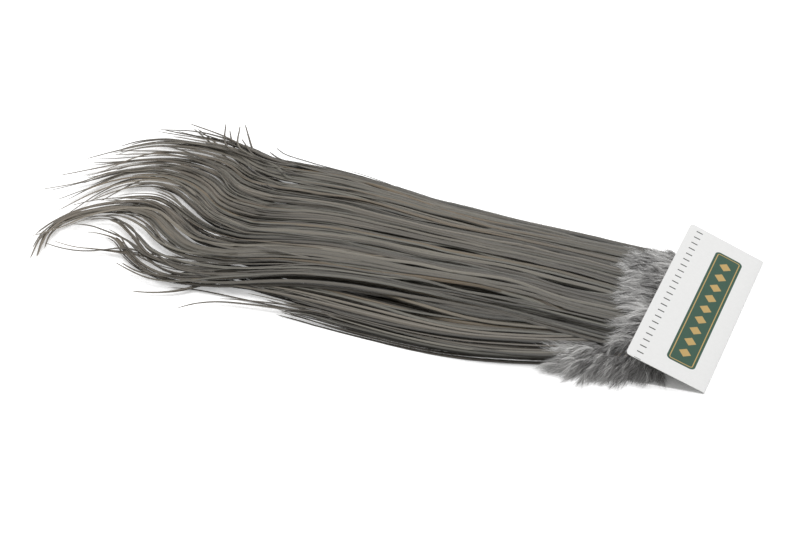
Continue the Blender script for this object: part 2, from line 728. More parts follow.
@dataclass(frozen=True)
class HackleFinish:
    """Dry hackle: glossy keratin barbs, locked to a quill, in grey dun with brown streaks.

    Attributes:
        dark: Colour of the darkest feathers.
        light: Colour of the palest feathers.
        brown: Colour of the brown streaks.
        cool: Cast of the greener feathers, which the grey is multiplied by.
        warm: Cast of the mauve feathers, which the grey is multiplied by.
        quill: Colour of the quill along the middle.
        quill_half: Where the quill's colour starts to fade and ends, from its middle, in mm.
        barb_pitch: Spacing of the drawn barbs in mm. Real ones are 0.3 mm apart, too fine to show.
        barb_lean: How far a barb runs forward for each mm that it runs out.
        barb_tone: How much lighter and darker the barbs are than the vane.
        barb_relief: How far the barbs stand out, in mm.
        streaks: Streaks for each mm along and across: about 40 mm long and under 1 mm wide.
        streak_tone: How much lighter and darker the streaks are than the vane.
        streak_shift: Shift of the streaks by tone, warmth and shade, so that no two feathers match.
        roughness: Gloss of the keratin.
    """

    dark: str = "#37352f"
    light: str = "#7c776d"
    brown: str = "#6e5a3c"
    cool: tuple[float, float, float] = (0.93, 1.0, 1.0)
    warm: tuple[float, float, float] = (1.04, 0.98, 0.94)
    quill: str = "#6d665c"
    quill_half: tuple[float, float] = (0.12, 0.3)
    barb_pitch: float = 0.8
    barb_lean: float = 3.5
    barb_tone: float = 0.05
    barb_relief: float = 0.06
    streaks: tuple[float, float, float] = (0.025, 1.4, 0.0)
    streak_tone: float = 0.22
    streak_shift: tuple[float, float, float] = (31.0, 47.0, 5.0)
    roughness: float = 0.42

    def material(self) -> Material:
        """Builds the node material."""
        material, add = new_material("grey_dun_keratin")
        place = add("Attribute", attribute_name="vane_place").outputs["Vector"]
        tint = add("Attribute", attribute_name="vane_tint")
        parts = add("SeparateXYZ", {0: place}).outputs
        tone, warmth, shade = add("SeparateColor", {0: tint}).outputs[:3]

        # Barbs: stripes that lean forward from the quill on both sides
        out = add("Math", {0: parts[1]}, operation="ABSOLUTE")
        lean = add("Math", {0: out, 1: -self.barb_lean, 2: parts[0]}, operation="MULTIPLY_ADD")
        turns = add("Math", {0: lean, 1: math.tau / self.barb_pitch}, operation="MULTIPLY")
        barbs = add("Math", {0: turns}, operation="SINE")

        stretch = add("VectorMath", {0: place, 1: self.streaks}, operation="MULTIPLY")
        apart = add(
            "VectorMath", {0: tint, 1: self.streak_shift, 2: stretch}, operation="MULTIPLY_ADD"
        )
        streak = add("TexNoise", {"Vector": apart, "Scale": 1.0, "Detail": 3.0, "Roughness": 0.6})
        lighter = add("MapRange", {
            "Value": streak, "From Min": 0.3, "From Max": 0.7, "To Min": -self.streak_tone,
            "To Max": self.streak_tone,
        })
        level = add("Math", {0: barbs, 1: self.barb_tone, 2: lighter}, operation="MULTIPLY_ADD")
        level = add("Math", {0: tone, 1: level}, operation="ADD")
        ends = {"A": linear(self.dark), "B": linear(self.light)}
        grey = add("Mix", {"Factor": level, **ends}, data_type="RGBA")
        ends = {"A": (*self.cool, 1.0), "B": (*self.warm, 1.0)}
        cast = add("Mix", {"Factor": tint.outputs["Alpha"], **ends}, data_type="RGBA")
        grey = add("VectorMath", {0: grey, 1: cast}, operation="MULTIPLY")
        vane = add("Mix", {"Factor": warmth, "A": grey, "B": linear(self.brown)}, data_type="RGBA")
        quilled = add("MapRange", {
            "Value": out, "From Min": self.quill_half[0], "From Max": self.quill_half[1],
            "To Min": 0.45, "To Max": 0.0,
        })
        vane = add("Mix", {"Factor": quilled, "A": vane, "B": linear(self.quill)}, data_type="RGBA")
        shaded = add("VectorMath", {0: vane, 3: shade}, operation="SCALE")
        relief = add("Bump", {"Strength": 0.25, "Distance": self.barb_relief * MM, "Height": barbs})
        sheen = add("MapRange", {
            "Value": streak, "From Min": 0.3, "From Max": 0.7, "To Min": self.roughness - 0.06,
            "To Max": self.roughness + 0.1,
        })
        keratin = add("BsdfPrincipled", {
            "Base Color": shaded, "Roughness": sheen, "Normal": relief, "IOR": 1.54,
            "Specular IOR Level": 0.5,
        })
        add("OutputMaterial", {"Surface": keratin})
        return material


@dataclass(frozen=True)
class DownFinish:
    """Down: limp barbs without hooks, matte and silvery, darker where they root.

    Attributes:
        root: Colour at the root of a fibre.
        tip: Colour at the tip of a fibre.
        paling: How much paler a fibre gets from root to tip.
        roughness: Surface roughness, high because the fibres scatter light.
    """

    root: str = "#5f5d5c"
    tip: str = "#dedddb"
    paling: float = 0.55
    roughness: float = 0.85

    def material(self) -> Material:
        """Builds the node material."""
        material, add = new_material("silver_grey_down")
        tint = add("Attribute", attribute_name="fibre_tint")
        share, tone, shade = add("SeparateColor", {0: tint}).outputs[:3]
        level = add("Math", {0: share, 1: self.paling, 2: tone}, operation="MULTIPLY_ADD")
        ends = {"A": linear(self.root), "B": linear(self.tip)}
        colour = add("Mix", {"Factor": level, **ends}, data_type="RGBA")
        shaded = add("VectorMath", {0: colour, 3: shade}, operation="SCALE")
        fluff = add("BsdfPrincipled", {
            "Base Color": shaded, "Roughness": self.roughness, "Specular IOR Level": 0.2,
            "Sheen Weight": 0.25, "Sheen Roughness": 0.6,
        })
        add("OutputMaterial", {"Surface": fluff})
        return material


@dataclass(frozen=True)
class SkinFinish:
    """Air-dried skin: horny yellow hide, waxy where fat dried in it, browner in the creases.

    Attributes:
        pale: Colour of the thin places.
        deep: Colour of the thick and fatty places.
        pore_pitch: Spacing of the fine grain in mm.
        blotches: Fatty places for each metre, about 11 mm apart.
        creases: Creases for each metre, about 2.4 mm apart.
        relief: Depth of the creases, in mm.
        roughness: Mean surface roughness.
    """

    pale: str = "#cdb98a"
    deep: str = "#8d6a3a"
    pore_pitch: float = 1.4
    blotches: float = 90.0
    creases: float = 420.0
    relief: float = 0.3
    roughness: float = 0.45

    def material(self) -> Material:
        """Builds the node material."""
        material, add = new_material("air_dried_hide")
        place = add("TexCoord").outputs["Object"]
        fatty = add("TexNoise", {"Vector": place, "Scale": self.blotches, "Detail": 4.0})
        grain = add(
            "TexVoronoi", {"Vector": place, "Scale": 1 / (self.pore_pitch * MM)},
            feature="SMOOTH_F1",
        )
        creased = add("TexNoise", {"Vector": place, "Scale": self.creases, "Detail": 5.0})
        mixed = add("Math", {0: grain, 1: 0.35, 2: fatty}, operation="MULTIPLY_ADD")
        spread = add("MapRange", {"Value": mixed, "From Min": 0.42, "From Max": 0.85})
        ends = {"A": linear(self.pale), "B": linear(self.deep)}
        colour = add("Mix", {"Factor": spread, **ends}, data_type="RGBA")
        height = add("Math", {0: grain, 1: -0.6, 2: creased}, operation="MULTIPLY_ADD")
        relief = add("Bump", {"Strength": 0.5, "Distance": self.relief * MM, "Height": height})
        gloss = add("MapRange", {
            "Value": fatty, "From Min": 0.3, "From Max": 0.7, "To Min": self.roughness - 0.1,
            "To Max": self.roughness + 0.2,
        })
        hide = add("BsdfPrincipled", {
            "Base Color": colour, "Roughness": gloss, "Normal": relief, "IOR": 1.5,
        })
        add("OutputMaterial", {"Surface": hide})
        return material


@dataclass(frozen=True)
class BoardFinish:
    """Coated board: bleached pulp with a smooth clay coat, faintly mottled.

    Attributes:
        coat: Colour of the coat.
        mottle: Colour of the mottle, which is slight.
        fibres: Spots of the mottle for each metre, about 1.7 mm apart.
        relief: Depth of the coat's unevenness, in mm.
        roughness: Gloss of the coat.
    """

    coat: str = "#e6e6e5"
    mottle: str = "#dfdfde"
    fibres: float = 600.0
    relief: float = 0.03
    roughness: float = 0.42

    def surface(self, add: Adder) -> tuple[Node, Node]:
        """Adds the bare board's colour and relief.

        Args:
            add: Adds a node to the material.

        Returns:
            The nodes that give the colour and the normal.
        """
        place = add("TexCoord").outputs["Object"]
        fibres = add("TexNoise", {"Vector": place, "Scale": self.fibres, "Detail": 4.0})
        ends = {"A": linear(self.coat), "B": linear(self.mottle)}
        colour = add("Mix", {"Factor": fibres, **ends}, data_type="RGBA")
        relief = {"Strength": 0.12, "Distance": self.relief * MM, "Height": fibres}
        return colour, add("Bump", relief)

    def material(self, printed: "PrintFinish | None" = None) -> Material:
        """Builds the node material.

        Args:
            printed: The print on the board, if it has one.

        Returns:
            The material.
        """
        material, add = new_material(f"{'printed_' if printed else ''}clay_coated_board")
        colour, normal = self.surface(add)
        if printed:
            colour = printed.over(add, colour)
        board = add("BsdfPrincipled", {
            "Base Color": colour, "Roughness": self.roughness, "Normal": normal,
        })
        add("OutputMaterial", {"Surface": board})
        return material


@dataclass(frozen=True)
class PrintFinish:
    """Offset print on the coated board: a green band with gold lozenges, and a scale of ticks.

    The print is read from the sheet's own places in mm: u along the fold, v up from the free edge.

    Attributes:
        green: Colour of the band.
        gold: Colour of the frame line and the lozenges.
        ink: Colour of the ticks.
        band: Middle u and v, half length, half width and corner radius of the band, in mm.
        frame_line: Inset and thickness of the gold line in the band, in mm.
        lozenge: Spacing, half length and half width of the lozenges, in mm.
        tick: Spacing, length and thickness of the ticks, in mm.
        tick_v: Middle of the ticks up from the free edge, in mm.
        soft: Half width of the ink's soft rim, in mm.
    """

    green: str = "#1f4a37"
    gold: str = "#b99a5b"
    ink: str = "#2b2c2c"
    band: tuple[float, float, float, float, float] = (57.0, 25.0, 46.5, 7.4, 2.6)
    frame_line: tuple[float, float] = (1.2, 0.5)
    lozenge: tuple[float, float, float] = (9.3, 3.2, 3.2)
    tick: tuple[float, float, float] = (5.0, 3.4, 0.75)
    tick_v: float = 6.0
    soft: float = 0.04

    def inside(self, add: Adder, distance: Source, edge: float = 0.0) -> Node:
        """Adds a mask that is 1 where a distance is below an edge, with a soft rim."""
        rim = {"From Min": edge - self.soft, "From Max": edge + self.soft}
        return add("MapRange", {"Value": distance, **rim, "To Min": 1.0, "To Max": 0.0})

    def off(self, add: Adder, place: Source, middle: float) -> Node:
        """Adds the distance of a place from a middle."""
        shifted = add("Math", {0: place, 1: -middle}, operation="ADD")
        return add("Math", {0: shifted}, operation="ABSOLUTE")

    def outline(self, add: Adder, place: Source) -> Node:
        """Adds the distance in mm from the band's rounded outline, less than 0 inside it."""
        u, v, half_u, half_v, radius = self.band
        off = add("VectorMath", {0: place, 1: (u, v, 0)}, operation="SUBTRACT")
        off = add("VectorMath", {0: off}, operation="ABSOLUTE")
        straight = (half_u - radius, half_v - radius, 0)
        past = add("VectorMath", {0: off, 1: straight}, operation="SUBTRACT")
        outer = add("VectorMath", {0: past, 1: (0, 0, 0)}, operation="MAXIMUM")
        far = add("VectorMath", {0: outer}, operation="LENGTH")
        return add("Math", {0: far, 1: radius}, operation="SUBTRACT")

    def lozenges(self, add: Adder, u: Source, v: Source) -> Node:
        """Adds the mask of the row of lozenges along the band."""
        pitch, half_u, half_v = self.lozenge
        shifted = add("Math", {0: u, 1: -self.band[0]}, operation="ADD")
        along_row = add("Math", {0: shifted, 1: pitch / 2}, operation="PINGPONG")
        across = self.off(add, v, self.band[1])
        far = add("Math", {0: across, 1: half_u / half_v, 2: along_row}, operation="MULTIPLY_ADD")
        row = self.inside(add, self.off(add, u, self.band[0]), self.band[2] - 0.5 * pitch)
        return add("Math", {0: self.inside(add, far, half_u), 1: row}, operation="MULTIPLY")

    def ticks(self, add: Adder, u: Source, v: Source) -> Node:
        """Adds the mask of the ticks along the free edge."""
        pitch, length, thick = self.tick
        wrapped = add("Math", {0: u, 1: pitch / 2}, operation="PINGPONG")
        short = self.inside(add, self.off(add, v, self.tick_v), length / 2)
        line = self.inside(add, wrapped, thick / 2)
        return add("Math", {0: line, 1: short}, operation="MULTIPLY")

    def over(self, add: Adder, colour: Source) -> Source:
        """Adds the print over the board.

        Args:
            add: Adds a node to the material.
            colour: The board's colour.

        Returns:
            The printed board's colour.
        """
        place = add("Attribute", attribute_name="print_place").outputs["Vector"]
        u, v = add("SeparateXYZ", {0: place}).outputs[:2]
        band = self.outline(add, place)
        inset, thick = self.frame_line
        frame_line = self.off(add, band, -inset - thick / 2)
        for mask, ink in (
            (self.inside(add, band), self.green),
            (self.inside(add, frame_line, thick / 2), self.gold),
            (self.lozenges(add, u, v), self.gold),
            (self.ticks(add, u, v), self.ink),
        ):
            layer = {"Factor": mask, "A": colour, "B": linear(ink)}
            colour = add("Mix", layer, data_type="RGBA")
        return colour


@dataclass(frozen=True)
class Studio:
    """The floor, the soft light and the camera, in the photograph's places.

    Attributes:
        elevation: Angle of the view down from level, in degrees.
        roll: Turn of the picture, in degrees.
        yaw: Turn of the patch in the view, in degrees.
        focal: Focal length in pixels of the 800 pixel wide picture.
        scale: Size of a picture's pixel at the card's distance, in mm.
        fold_corner: The near end of the fold from the middle of the view, in plan, in pixels.
        picture_width: Width of the picture in pixels.
        sensor: Width of the camera's sensor, in mm.
        floor_glow: Light that the floor gives off, as a photographer's light table does.
        room_light: Light that the pale room gives.
        lamps: Name, place and size in metres, and power in watts of each soft light.
        aim: Where the lights point, in metres.
    """

    elevation: float = 34.0
    roll: float = 3.8
    yaw: float = 23.28
    focal: float = 2330.0
    scale: float = 0.5124
    fold_corner: tuple[float, float] = (270.0, -242.0)
    picture_width: int = 800
    sensor: float = 36.0
    floor_glow: float = 0.34
    room_light: float = 0.62
    lamps: tuple = (
        ("overhead", (-0.35, 0.35, 1.6), 1.8, 16.0),
        ("behind", (-0.2, 1.5, 0.9), 1.0, 5.0),
    )
    aim: tuple[float, float, float] = (-0.17, 0, 0)

    def axes(self) -> tuple[Vector, Vector, Vector, Vector]:
        """Works out where the camera stands and how it is turned.

        Returns:
            Its place in mm, and its right, up and forward directions, in the part's frame.
        """
        tilt, roll, yaw = (math.radians(a) for a in (self.elevation, self.roll, self.yaw))
        forward = Vector((0, math.cos(tilt), -math.sin(tilt)))
        level = Vector((1, 0, 0))
        down = forward.cross(level)
        right = level * math.cos(roll) + down * math.sin(roll)
        up = level * math.sin(roll) - down * math.cos(roll)
        to_part = Matrix.Rotation(yaw, 3, "Z")
        length, width = Vector((CARD.flap, 0, 0)), Vector((0, CARD.width, 0))
        corner = to_part @ Vector((*self.fold_corner, 0)) * self.scale
        origin = corner - length / 2 + width / 2
        place = to_part @ (-forward * self.focal * self.scale) - origin
        return place, to_part @ right, to_part @ up, to_part @ forward

    def build(self) -> None:
        """Adds the camera, the floor, the lights and the pale surroundings."""
        scene = bpy.context.scene
        place, right, up, forward = self.axes()
        data = bpy.data.cameras.new("camera")
        data.sensor_width = self.sensor
        data.lens = self.focal / self.picture_width * self.sensor
        data.clip_end = 20.0
        camera = bpy.data.objects.new("camera", data)
        turn = Matrix((right, up, -forward)).transposed()
        camera.matrix_world = Matrix.Translation(place * MM) @ turn.to_4x4()
        scene.collection.objects.link(camera)
        scene.camera = camera
        self.floor()
        self.lights()
        scene.view_settings.view_transform = "Standard"

    def floor(self) -> None:
        """Adds the plain white floor."""
        shape = bmesh.new()
        bmesh.ops.create_grid(shape, x_segments=1, y_segments=1, size=3.0)
        mesh = mesh_of(shape, "floor")
        material, add = new_material("matt_white_floor")
        paint = add("BsdfPrincipled", {
            "Base Color": linear("#f7f7f7"), "Roughness": 0.9, "Specular IOR Level": 0.1,
            "Emission Color": (1.0, 1.0, 1.0, 1.0), "Emission Strength": self.floor_glow,
        })
        add("OutputMaterial", {"Surface": paint})
        mesh.materials.append(material)
        floor = bpy.data.objects.new("floor", mesh)
        bpy.context.scene.collection.objects.link(floor)

    def lights(self) -> None:
        """Adds a wide soft light overhead, a smaller one behind, and pale surroundings."""
        for name, place, size, power in self.lamps:
            data = bpy.data.lights.new(name, "AREA")
            data.shape = "DISK"
            data.size = size
            data.energy = power
            light = bpy.data.objects.new(name, data)
            aim = (Vector(self.aim) - Vector(place)).to_track_quat("-Z", "Y")
            light.matrix_world = Matrix.Translation(place) @ aim.to_matrix().to_4x4()
            bpy.context.scene.collection.objects.link(light)
        world = bpy.data.worlds.new("pale_room")
        world.use_nodes = True
        inputs = world.node_tree.nodes["Background"].inputs
        inputs["Color"].default_value = (1, 1, 1, 1)
        inputs["Strength"].default_value = self.room_light
        bpy.context.scene.world = world


# The feathers

# Half width of the vane that the template's heights are for, in mm
FULL_HALF = 1.5
# A vane widens over these shares of its length, tapers over this many mm to this share of its width,
# and ends in a point of this many mm
WEB_START = (0.004, 0.05)
TAPER_LENGTH = 105
TIP_WIDTH = 0.16
TIP_POINT = 3
# Along the curl of its tip a lock closes up to a strand: how much of its width and of each clump's
# width goes, and of its height over the surface
LOCK_CLOSING = 0.66
CLUMP_CLOSING = 0.88
CURL_SINKING = 0.5
# A clump's slow bend: its size and length in mm. A lock's highest feather, in layer thicknesses
SWAY = (0.4, 1.3)
SWAY_LENGTH = (110, 220)
TOP_LEVEL = (0.8, 1.08)
# A feather's length by the lock's: the short ones of the upper and the other layers, and the long
# ones, and how far from the lock's start it roots, in mm
SHORT_UPPER = (0.62, 0.86)
SHORT_UNDER = (0.62, 0.76)
LONG = (0.86, 1.0)
ROOTING = (0, 9)
# How far feathers cross the lane and lift their tips, in mm: most of them, and the wilder ones
DRIFTS = (2.0, 6.5)
LIFTS = (1.0, 2.4)
# Shares of the feathers that are browned, turn wildly at the tip, cross their neighbours, and follow
# the stray tip of their lock
BROWNED = 0.07
WILD = 0.12
CROSSING = 0.25
STRAYING = 0.4
# How far tips turn aside: wild ones, those of the far locks, of the near locks, and at most, in mm
WILD_CURL = 7.0
FAR_CURL = 3.2
NEAR_CURL = 1.6
MOST_CURL = 9.0
# Light taken off a feather that is buried in its layer, at the butts (x from and to, in mm) and in a
# parting, and given to the tips of the near and the far locks
BURIED_SHADE = 0.4
BUTT_SHADE = 0.24
BUTT_RANGE = (-120, -40)
PARTING_SHADE = 0.85
NEAR_PALING = 0.28
FAR_PALING = 0.03


@dataclass(frozen=True)
class Feather:
    """One feather's build and how it lies in its lock.

    Attributes:
        start: Where it roots, from the start of the lock's line, in mm.
        length: Length in mm.
        half_width: Half width of the vane, in mm.
        offset: Place of its clump across the lock's lane, as a share of the lane's width.
        aside: Its own place off the clump's middle, as a share of the lane's width.
        level: Place in the layer's thickness, from 0 to about 1.
        sway: Size in mm, length in mm and phase of its slow bend from side to side.
        drift: How far it crosses its lane between the root and the curl, in mm.
        curl: How far its tip turns aside, in mm.
        lift: How far its tip rises, in mm.
        roll: Turn about its quill, in radians.
        tint: Tone, warmth, shade and cast.
        stray: The line of its own tip, where it leaves the lock.
    """

    start: float
    length: float
    half_width: float
    offset: float
    aside: float
    level: float
    sway: tuple[float, float, float]
    drift: float
    curl: float
    lift: float
    roll: float
    tint: tuple[float, float, float, float]
    stray: Table | None = None


@dataclass
class VaneTemplate:
    """A feather laid flat: a ridge for the quill, a web on both sides of it and a fringe of barbs.

    A vertex's x is its share of the length and its y the line of the feather that it is on: 0 the
    top of the quill, 1 the quill's foot, 2 the edge of the web and 3 the tips of the barbs.

    Attributes:
        steps: Steps along the feather.
        web: Edge of the web, as a share of the vane's half width.
        quill: Half width of the quill at the root and tip, in mm.
        ridge: Height of the quill over the web at the root, in mm.
        droop: How far the tips of the barbs hang, in mm, for a vane of FULL_HALF.
        lean: How far the tips of the barbs lie ahead of their roots, in mm.
    """

    steps: int
    web: float = 0.56
    quill: tuple[float, float] = (0.3, 0.08)
    ridge: float = 0.22
    droop: float = 0.3
    lean: float = 4.6

    def mesh(self) -> Mesh:
        """Makes the flat template."""
        shape = bmesh.new()
        bmesh.ops.create_grid(shape, x_segments=self.steps, y_segments=4, size=0.5)
        bmesh.ops.scale(shape, vec=(1, 4, 1), verts=shape.verts)
        bmesh.ops.translate(shape, vec=(0.5, 0, 0), verts=shape.verts)
        border = [
            edge for edge in shape.edges
            if edge.is_boundary and min(abs(vert.co.y) for vert in edge.verts) > 1.5
        ]
        for edge in border:
            self.add_barb(shape, edge)
        bmesh.ops.recalc_face_normals(shape, faces=shape.faces)
        if sum(face.normal.z for face in shape.faces) < 0:
            bmesh.ops.reverse_faces(shape, faces=shape.faces)
        return mesh_of(shape, "vane")

    def add_barb(self, shape: bmesh.types.BMesh, edge: bmesh.types.BMEdge) -> None:
        """Adds one barb on an edge of the web, with its tip on the outer line."""
        first, second = sorted(edge.verts, key=lambda vert: vert.co.x)
        side = math.copysign(3, first.co.y)
        tip = shape.verts.new((second.co.x, side, 0))
        shape.faces.new((first, second, tip))


def vane_width(share: np.ndarray, length: float) -> np.ndarray:
    """Width of a vane as a share of its full width: bare quill, web, and a long fine tip.

    Args:
        share: Shares of the feather's length.
        length: The feather's length, in mm.

    Returns:
        The widths.
    """
    to_tip = (1 - share) * length
    taper = TIP_WIDTH + (1 - TIP_WIDTH) * ramp(to_tip, 0, TAPER_LENGTH) ** 0.75
    return ease(ramp(share, *WEB_START)) * taper * np.sqrt(ramp(to_tip, 0, TIP_POINT))


@dataclass
class HackleLock:
    """A lock of feathers, side by side in clumps and over each other.

    Attributes:
        layer: Its layer.
        index: Its number in the layer, from the near side.
        template: The flat feather that its feathers are bent from.
        template_mesh: The template's mesh.
        partings: Partings and slits that the feathers leave open.
        half_widths: Least and greatest half width of a vane, in mm.
        rim_shade: How much darker the barbs' thin tips are, where the dark below shows through.
        seed: Seed of its chance.
    """

    layer: Layer
    index: int
    template: VaneTemplate
    template_mesh: Mesh
    partings: tuple
    half_widths: tuple[float, float] = (1.2, 1.8)
    rim_shade: float = 0.74
    seed: int = 4127

    @property
    def name(self) -> str:
        """Name of the lock's solid."""
        return f"{self.layer.value}_lock_{self.index + 1:02d}"

    def feathers(self, rng: np.random.Generator) -> list[Feather]:
        """Chooses the lock's feathers.

        Args:
            rng: Source of chance.

        Returns:
            The feathers, lowest first in each clump.
        """
        plan = LAYERS[self.layer]
        stray = STRAYS[self.layer].get(self.index)
        share = STRAYING if self.index else 1.0
        loose = FAR_CURL if self.index > 0.55 * plan.lanes else NEAR_CURL
        chosen = []
        for clump in range(plan.clumps):
            centre = (clump + 0.5) / plan.clumps - 0.5 + rng.uniform(-0.05, 0.05)
            sway = (rng.uniform(*SWAY), rng.uniform(*SWAY_LENGTH), rng.uniform(0, math.tau))
            top = rng.uniform(*TOP_LEVEL)
            tone = rng.normal(0.5, 0.1)
            for rank in range(plan.feathers):
                height = rank / max(plan.feathers - 1, 1)
                aside = rng.uniform(-1, 1) * (0.28 - 0.12 * height)
                full = clump == 1 and rank == 1
                short = rng.uniform(*(SHORT_UPPER if self.layer is Layer.UPPER else SHORT_UNDER))
                length = rng.uniform(*LONG) if rng.random() < plan.long else short
                length = 1.0 if full else length
                start = rng.uniform(*ROOTING)
                wild = rng.random() < WILD
                crosses = rng.random() < CROSSING
                leaves = stray if stray and (full or rng.random() < share) else None
                settled = 0.2 if leaves else 1.0
                route = lock_route(self.layer, self.index, leaves)
                chosen.append(Feather(
                    start=start,
                    length=(route.length - start) * length,
                    half_width=rng.uniform(*self.half_widths),
                    offset=centre,
                    aside=aside,
                    level=top * (0.12 + 0.88 * height) - 0.25 * (aside / 0.26) ** 2,
                    sway=(sway[0] + rng.uniform(-0.4, 0.5), sway[1] * rng.uniform(0.8, 1.2),
                          sway[2] + rng.uniform(-0.8, 0.8)),
                    drift=rng.normal(0, DRIFTS[crosses]) * (0.4 + 0.6 * height),
                    curl=settled * float(
                        np.clip(rng.normal(0, WILD_CURL if wild else loose), -MOST_CURL, MOST_CURL)
                    ),
                    lift=abs(rng.normal(0, LIFTS[wild])),
                    roll=-aside * 1.4 + rng.normal(0, 0.16),
                    tint=self.tint(tone, rng),
                    stray=leaves,
                ))
        for lock, lift, line in LONE_FEATHERS:
            if self.layer is Layer.UPPER and lock == self.index:
                chosen.append(Feather(
                    start=2.0, length=lock_route(self.layer, lock, line).length - 2, half_width=1.6,
                    offset=rng.uniform(-0.2, 0.2), aside=0.0, level=1.0,
                    sway=(0.6, 160.0, rng.uniform(0, 6)), drift=0.0, curl=0.0, lift=lift,
                    roll=rng.normal(0, 0.1), tint=self.tint(0.55, rng), stray=line,
                ))
        return chosen

    def tint(self, tone: float, rng: np.random.Generator) -> tuple[float, float, float, float]:
        """Chooses a feather's tone near a mean, and its warmth, shade and cast."""
        browned = rng.random() < BROWNED
        return (
            float(np.clip(tone + rng.normal(0, 0.3), 0.0, 1.2)),
            rng.uniform(0.4, 0.85) if browned else rng.uniform(0, 0.1),
            rng.uniform(0.82, 1.08),
            rng.uniform(0, 1),
        )

    def bend(
        self, feather: Feather, flat: np.ndarray, rng: np.random.Generator
    ) -> tuple[np.ndarray, np.ndarray, np.ndarray]:
        """Lays one feather along the lock.

        Args:
            feather: The feather.
            flat: The flat template's vertices.
            rng: Source of chance for the barbs.

        Returns:
            The vertices in mm, the place on the feather of each (distance from the root and from
            the quill in mm, and share of the length), and the tone, warmth, shade and cast of each.
        """
        route = lock_route(self.layer, self.index, feather.stray)
        share, line = flat[:, 0], np.abs(flat[:, 1])
        side = np.sign(flat[:, 1])
        is_barb = line > 2.5
        uneven = rng.uniform(0.8, 1.12, len(share))
        width = feather.half_width * vane_width(share, feather.length)
        template = self.template
        quill = between(template.quill, share)
        quill = quill * np.sqrt(ramp(share, 1.0, 0.97)) + 0.01
        closed = ramp((1 - share) * feather.length, 55, 5)
        web = np.maximum(width * (template.web + 0.3 * closed), quill)
        fringe = np.maximum(width * uneven, quill)
        lines = [line < 0.5, line < 1.5, line < 2.5]
        out = np.select(lines, [0 * quill, quill, web], fringe)
        scale = width / FULL_HALF
        ridge = template.ridge * quill / template.quill[0]
        droop = template.droop * scale
        up = np.select(lines, [ridge, 0 * quill, -0.35 * droop], -droop * uneven)
        ahead = np.where(is_barb, template.lean * np.sqrt(np.clip(scale, 0, 1)) * uneven, 0)
        far = feather.start + share * feather.length
        x, y, hx, hy, lane, curl = route.at(far + ahead)

        # Clumps close up to strands, the lane narrows to the lock's tip, and each tip turns and lifts
        own_tip = ramp(share, 0.68, 1.0)
        narrow = 1 - LOCK_CLOSING * curl**1.3
        strand = 1 - CLUMP_CLOSING * curl**0.5
        size, length, phase = feather.sway
        sway = size * np.sin(math.tau * far / length + phase) * ramp(far, 0, 60)
        drift = feather.drift * (ramp(far, 0, 260) - 0.5) * (1 - curl)
        aside = sway * (1 - 0.6 * curl) + drift + feather.curl * own_tip**2
        middle = (feather.offset * narrow + feather.aside * strand) * lane + aside
        x, y = x - hy * middle, y + hx * middle
        if self.layer is not Layer.LOWER:
            y = open_partings(x, y, self.partings)

        sunk = 1 - CURL_SINKING * curl
        floor = lie_height(self.layer, x, y) * sunk
        plan = LAYERS[self.layer]
        thick = layer_thickness(x, y) * ramp(x, plan.root, plan.full) * sunk
        z = floor + np.maximum(thick, LEAST_THICKNESS) * feather.level + GAP
        z = z + feather.lift * own_tip**2
        turn = feather.roll * (1 - 0.4 * own_tip)
        sideways = side * out * np.cos(turn) - up * np.sin(turn)
        upright = side * out * np.sin(turn) + up * np.cos(turn)
        places = np.stack((x - hy * sideways, y + hx * sideways, np.maximum(z + upright, 0.05)), 1)
        spots = np.stack((far, side * out, share), 1)
        tints = self.tints(feather, x, y, curl)
        rim = ramp(out / np.maximum(width, 0.05), 0.45, 1.0) * (1 - 0.8 * curl)
        tints[:, 2] *= 1 - self.rim_shade * rim
        return places, spots, tints

    def tints(
        self, feather: Feather, x: np.ndarray, y: np.ndarray, curl: np.ndarray
    ) -> np.ndarray:
        """Gives the tone, warmth, shade and cast along a feather, darker where others cover it.

        Args:
            feather: The feather.
            x: Places along X, in mm.
            y: Places along Y, in mm.
            curl: Shares of the curling tip.

        Returns:
            One row for each place.
        """
        tone, warmth, shade, cast = feather.tint
        plan = LAYERS[self.layer]
        if self.layer is not Layer.UPPER:
            inward = y - along(UPPER_NEAR, x)
            covered = ramp(inward, 2, 9) * (1 - curl)
            deep = parting_shade(x, y, self.partings) * ramp(inward, -3, 1)
            shade = shade * (1 - (1 - plan.shade) * covered) * (1 - PARTING_SHADE * deep)
        buried = float(ramp(feather.level, 0.75, 0.1)) * (1 - curl)
        butt = ramp(x, *BUTT_RANGE)
        paler = NEAR_PALING if self.index < 0.4 * plan.lanes else FAR_PALING
        shade = shade * (1 - BURIED_SHADE * buried) * (1 + paler * curl) * (1 - BUTT_SHADE * butt)
        warmth = warmth * (1 - 0.7 * butt) + 0.14 * curl
        return np.stack((np.full_like(x, tone), warmth, shade, cast + 0.4 * curl), 1)

    def build(self, material: Material) -> Object:
        """Builds the lock.

        Args:
            material: The feathers' finish.

        Returns:
            The piece.
        """
        rng = np.random.default_rng(self.seed + 100 * list(Layer).index(self.layer) + self.index)
        feathers = self.feathers(rng)
        flat = corners_of(self.template_mesh)
        bent = [self.bend(feather, flat, rng) for feather in feathers]
        places, spots, tints = (np.vstack(rows) for rows in zip(*bent))
        mesh = array_of(self.template_mesh, len(feathers), self.name)
        move_corners(mesh, places)
        write_places(mesh, "vane_place", spots)
        write_colours(mesh, "vane_tint", tints)
        return finished_piece(f"{self.name}_feathers", mesh, [material], Slot.HACKLE, self.name)


# The down


